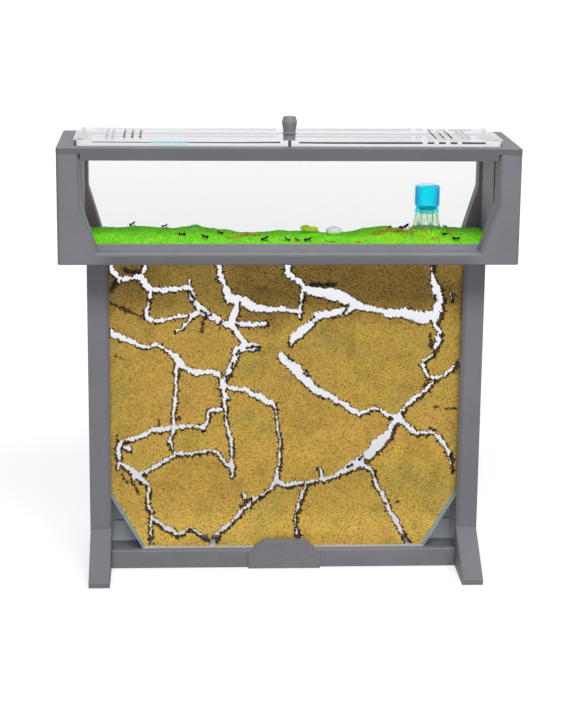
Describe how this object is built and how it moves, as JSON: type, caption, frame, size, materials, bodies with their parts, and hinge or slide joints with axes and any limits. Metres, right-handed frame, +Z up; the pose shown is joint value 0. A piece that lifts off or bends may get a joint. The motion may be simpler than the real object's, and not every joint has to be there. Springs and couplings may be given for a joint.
{
  "type": "ant habitat",
  "caption": "Upright sand ant nest between clear sheets in a printed stand, with a wide windowed foraging box and lift-off clear lid on top.",
  "frame": {"origin": "on the floor, under the middle of the stand's footprint", "axes": "+X to the right, +Y to the back, +Z up; the front window faces -Y"},
  "size_m": [0.2, 0.072, 0.2085],
  "materials": {
    "printed_plastic": "matte",
    "clear_acrylic": "gloss",
    "nest_sand": "matte",
    "green_sand": "matte",
    "drinker_clear": "gloss",
    "blue_water": "gloss",
    "pin_steel": "satin",
    "green_stone": "matte",
    "white_stone": "matte",
    "seed_husk": "matte",
    "ant_shell": "satin"
  },
  "bodies": {
    "stand": {"left_upright": "printed_plastic", "right_upright": "printed_plastic", "base_rail": "printed_plastic", "nest_front_sheet": "clear_acrylic", "nest_back_sheet": "clear_acrylic", "nest_left_spacer": "clear_acrylic", "nest_right_spacer": "clear_acrylic", "nest_left_corner_spacer": "clear_acrylic", "nest_right_corner_spacer": "clear_acrylic", "nest_bottom_spacer": "clear_acrylic", "sand_fill": "nest_sand"},
    "outworld": {"outworld_body": "printed_plastic", "outworld_front_pane": "clear_acrylic", "outworld_back_pane": "clear_acrylic", "green_sand_bed": "green_sand", "drinker_base": "drinker_clear", "green_pebble": "green_stone", "white_pebble": "white_stone"},
    "top_frame": {"top_frame": "printed_plastic", "lid_locating_pins": "pin_steel"},
    "lid": {"lid_panel": "clear_acrylic", "lid_knob": "printed_plastic"},
    "drinker_bottle": {"drinker_bottle": "drinker_clear", "drinker_water": "blue_water"}
  },
  "joints": [
    {"name": "outworld_lift", "type": "slide", "parent": "stand", "child": "outworld", "axis": [0, 0, 1], "range_m": [0, 0.03]},
    {"name": "top_frame_lift", "type": "slide", "parent": "outworld", "child": "top_frame", "axis": [0, 0, 1], "range_m": [0, 0.05]},
    {"name": "lid_lift", "type": "slide", "parent": "top_frame", "child": "lid", "axis": [0, 0, 1], "range_m": [0, 0.06]},
    {"name": "drinker_bottle_lift", "type": "slide", "parent": "outworld", "child": "drinker_bottle", "axis": [0, 0, 1], "range_m": [0, 0.012]}
  ]
}
